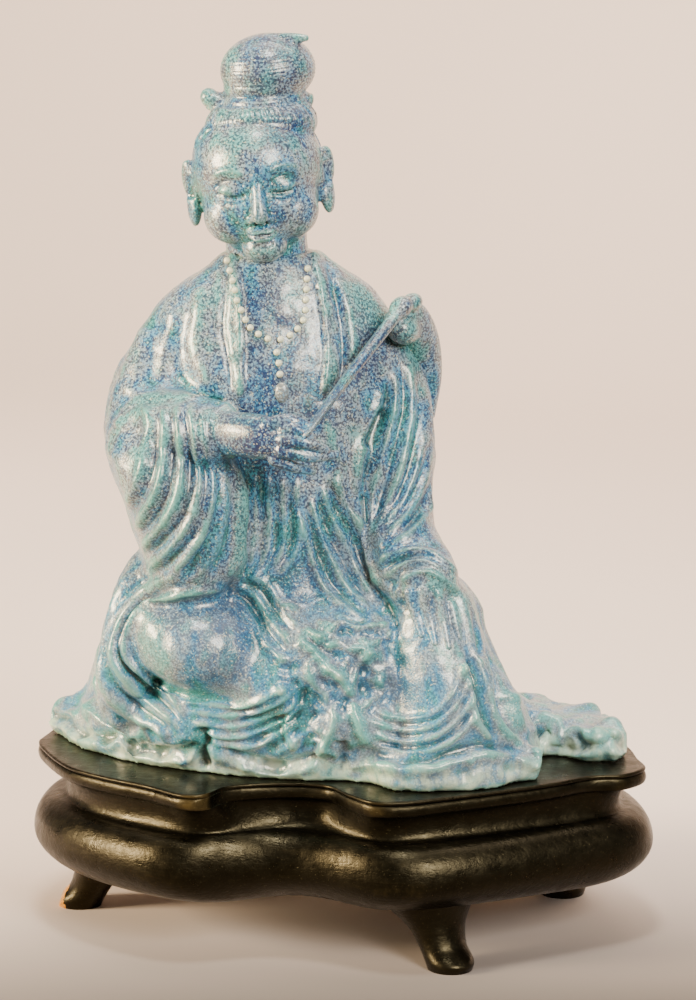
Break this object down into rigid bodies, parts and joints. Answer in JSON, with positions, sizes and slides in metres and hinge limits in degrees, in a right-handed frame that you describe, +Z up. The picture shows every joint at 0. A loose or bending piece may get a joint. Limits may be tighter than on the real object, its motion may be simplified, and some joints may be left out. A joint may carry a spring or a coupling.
{
  "type": "luohan figure",
  "caption": "Glazed porcelain figure seated at ease in a long draped robe, hair in a topknot, a whisk in one hand, resting on a lobed dark wood stand with flared feet.",
  "frame": {"origin": "on the floor under the middle of the whole part", "axes": "+Z up, the stand's long axis along X, its front towards -Y"},
  "size_m": [0.1896, 0.123, 0.2717],
  "materials": {
    "glaze": "glossy",
    "dark_wood": "satin"
  },
  "bodies": {
    "root": {"luohan_figure": "glaze", "wood_stand": "dark_wood"}
  },
  "joints": []
}
